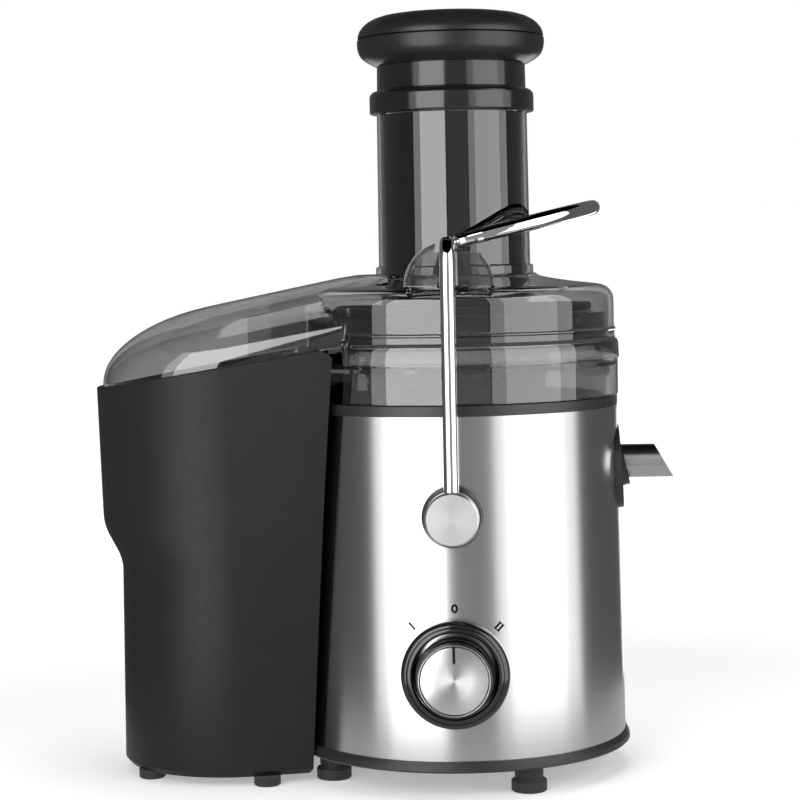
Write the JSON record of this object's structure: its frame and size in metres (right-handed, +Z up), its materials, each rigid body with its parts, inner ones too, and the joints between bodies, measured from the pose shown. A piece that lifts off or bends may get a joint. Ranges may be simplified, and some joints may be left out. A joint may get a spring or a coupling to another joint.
{
  "type": "centrifugal juicer",
  "caption": "Round steel-bodied centrifugal juicer with clear lid and wide feed tube, pusher, side pulp container, juice spout, speed knob and swing-over locking arm.",
  "frame": {"origin": "point on the table top on the round body's vertical axis, in the plane that the feet rest on", "axes": "+Z up along the body's axis, the front with the speed knob faces -Y, the juice spout points along +X, the pulp container stands on the -X side"},
  "size_m": [0.3165, 0.2149, 0.412],
  "materials": {
    "black_plastic": "satin moulded",
    "steel_shell": "brushed round the body",
    "rubber": "matte",
    "gloss_black": "high gloss",
    "satin_black": "fine satin",
    "spun_metal": "spun, radial highlights",
    "satin_metal": "satin",
    "chrome": "polished",
    "spout_metal": "satin plated",
    "smoke_clear": "clear smoke tint",
    "container_plastic": "satin moulded",
    "inner_plastic": "moulded",
    "basket_steel": "fine mesh and punched disc",
    "bright_steel": "ground",
    "motor_iron": "varnished sheets",
    "copper": "enamelled copper",
    "cast_alloy": "as cast",
    "carbon": "pressed carbon",
    "board": "circuit board"
  },
  "bodies": {
    "base": {"base_plate": "black_plastic", "body_shell": "steel_shell", "top_collar": "black_plastic", "motor_deck": "black_plastic", "body_foot_1": "rubber", "body_foot_2": "rubber", "body_foot_3": "rubber", "body_foot_4": "rubber", "knob_bezel": "gloss_black", "speed_switch": "inner_plastic", "spout": "spout_metal", "spout_housing": "black_plastic", "pivot_boss_front": "black_plastic", "pivot_boss_rear": "black_plastic", "pivot_pin_front": "bright_steel", "pivot_pin_rear": "bright_steel", "safety_switch": "inner_plastic", "juice_bowl": "smoke_clear", "lid": "smoke_clear", "feed_tube": "smoke_clear", "upper_bearing": "bright_steel", "lower_bearing": "bright_steel", "stator": "motor_iron", "field_coils": "copper", "upper_bracket": "cast_alloy", "lower_bracket": "cast_alloy", "brush_holders": "inner_plastic", "carbon_brushes": "carbon", "motor_mounts": "rubber", "shaft_seal": "rubber", "control_board": "board", "base_screws": "bright_steel", "cord_grommet": "rubber"},
    "rotor": {"filter_basket": "basket_steel", "basket_hub": "inner_plastic", "basket_rim": "inner_plastic", "grater_disc": "basket_steel", "drive_coupling": "inner_plastic", "motor_shaft": "bright_steel", "armature": "copper", "commutator": "copper", "cooling_fan": "inner_plastic"},
    "arm": {"locking_arm": "chrome", "arm_hub_front": "satin_metal", "arm_hub_rear": "satin_metal"},
    "pusher": {"pusher_stem": "gloss_black", "pusher_cap_base": "satin_black", "pusher_cap_top": "satin_black"},
    "speed_knob": {"knob": "gloss_black", "knob_cap": "spun_metal", "knob_shaft": "bright_steel"},
    "pulp_tub": {"pulp_container": "container_plastic", "container_foot_1": "rubber", "container_foot_2": "rubber", "container_foot_3": "rubber", "container_foot_4": "rubber"}
  },
  "joints": [
    {"name": "rotor_spin", "type": "hinge", "parent": "base", "child": "rotor", "pos_m": [0, 0, 0.1], "axis": [0, 0, 1], "continuous": true},
    {"name": "arm_swing", "type": "hinge", "parent": "base", "child": "arm", "pos_m": [0, 0, 0.147], "axis": [0, 1, 0], "range_deg": [0, 95]},
    {"name": "pusher_lift", "type": "slide", "parent": "base", "child": "pusher", "axis": [0, 0, 1], "range_m": [0, 0.15]},
    {"name": "knob_turn", "type": "hinge", "parent": "base", "child": "speed_knob", "pos_m": [0, -0.1, 0.0655], "axis": [0, -1, 0], "range_deg": [-45, 45]},
    {"name": "tub_tilt", "type": "hinge", "parent": "base", "child": "pulp_tub", "pos_m": [-0.092, 0, 0.229], "axis": [0, 1, 0], "range_deg": [0, 12]}
  ]
}
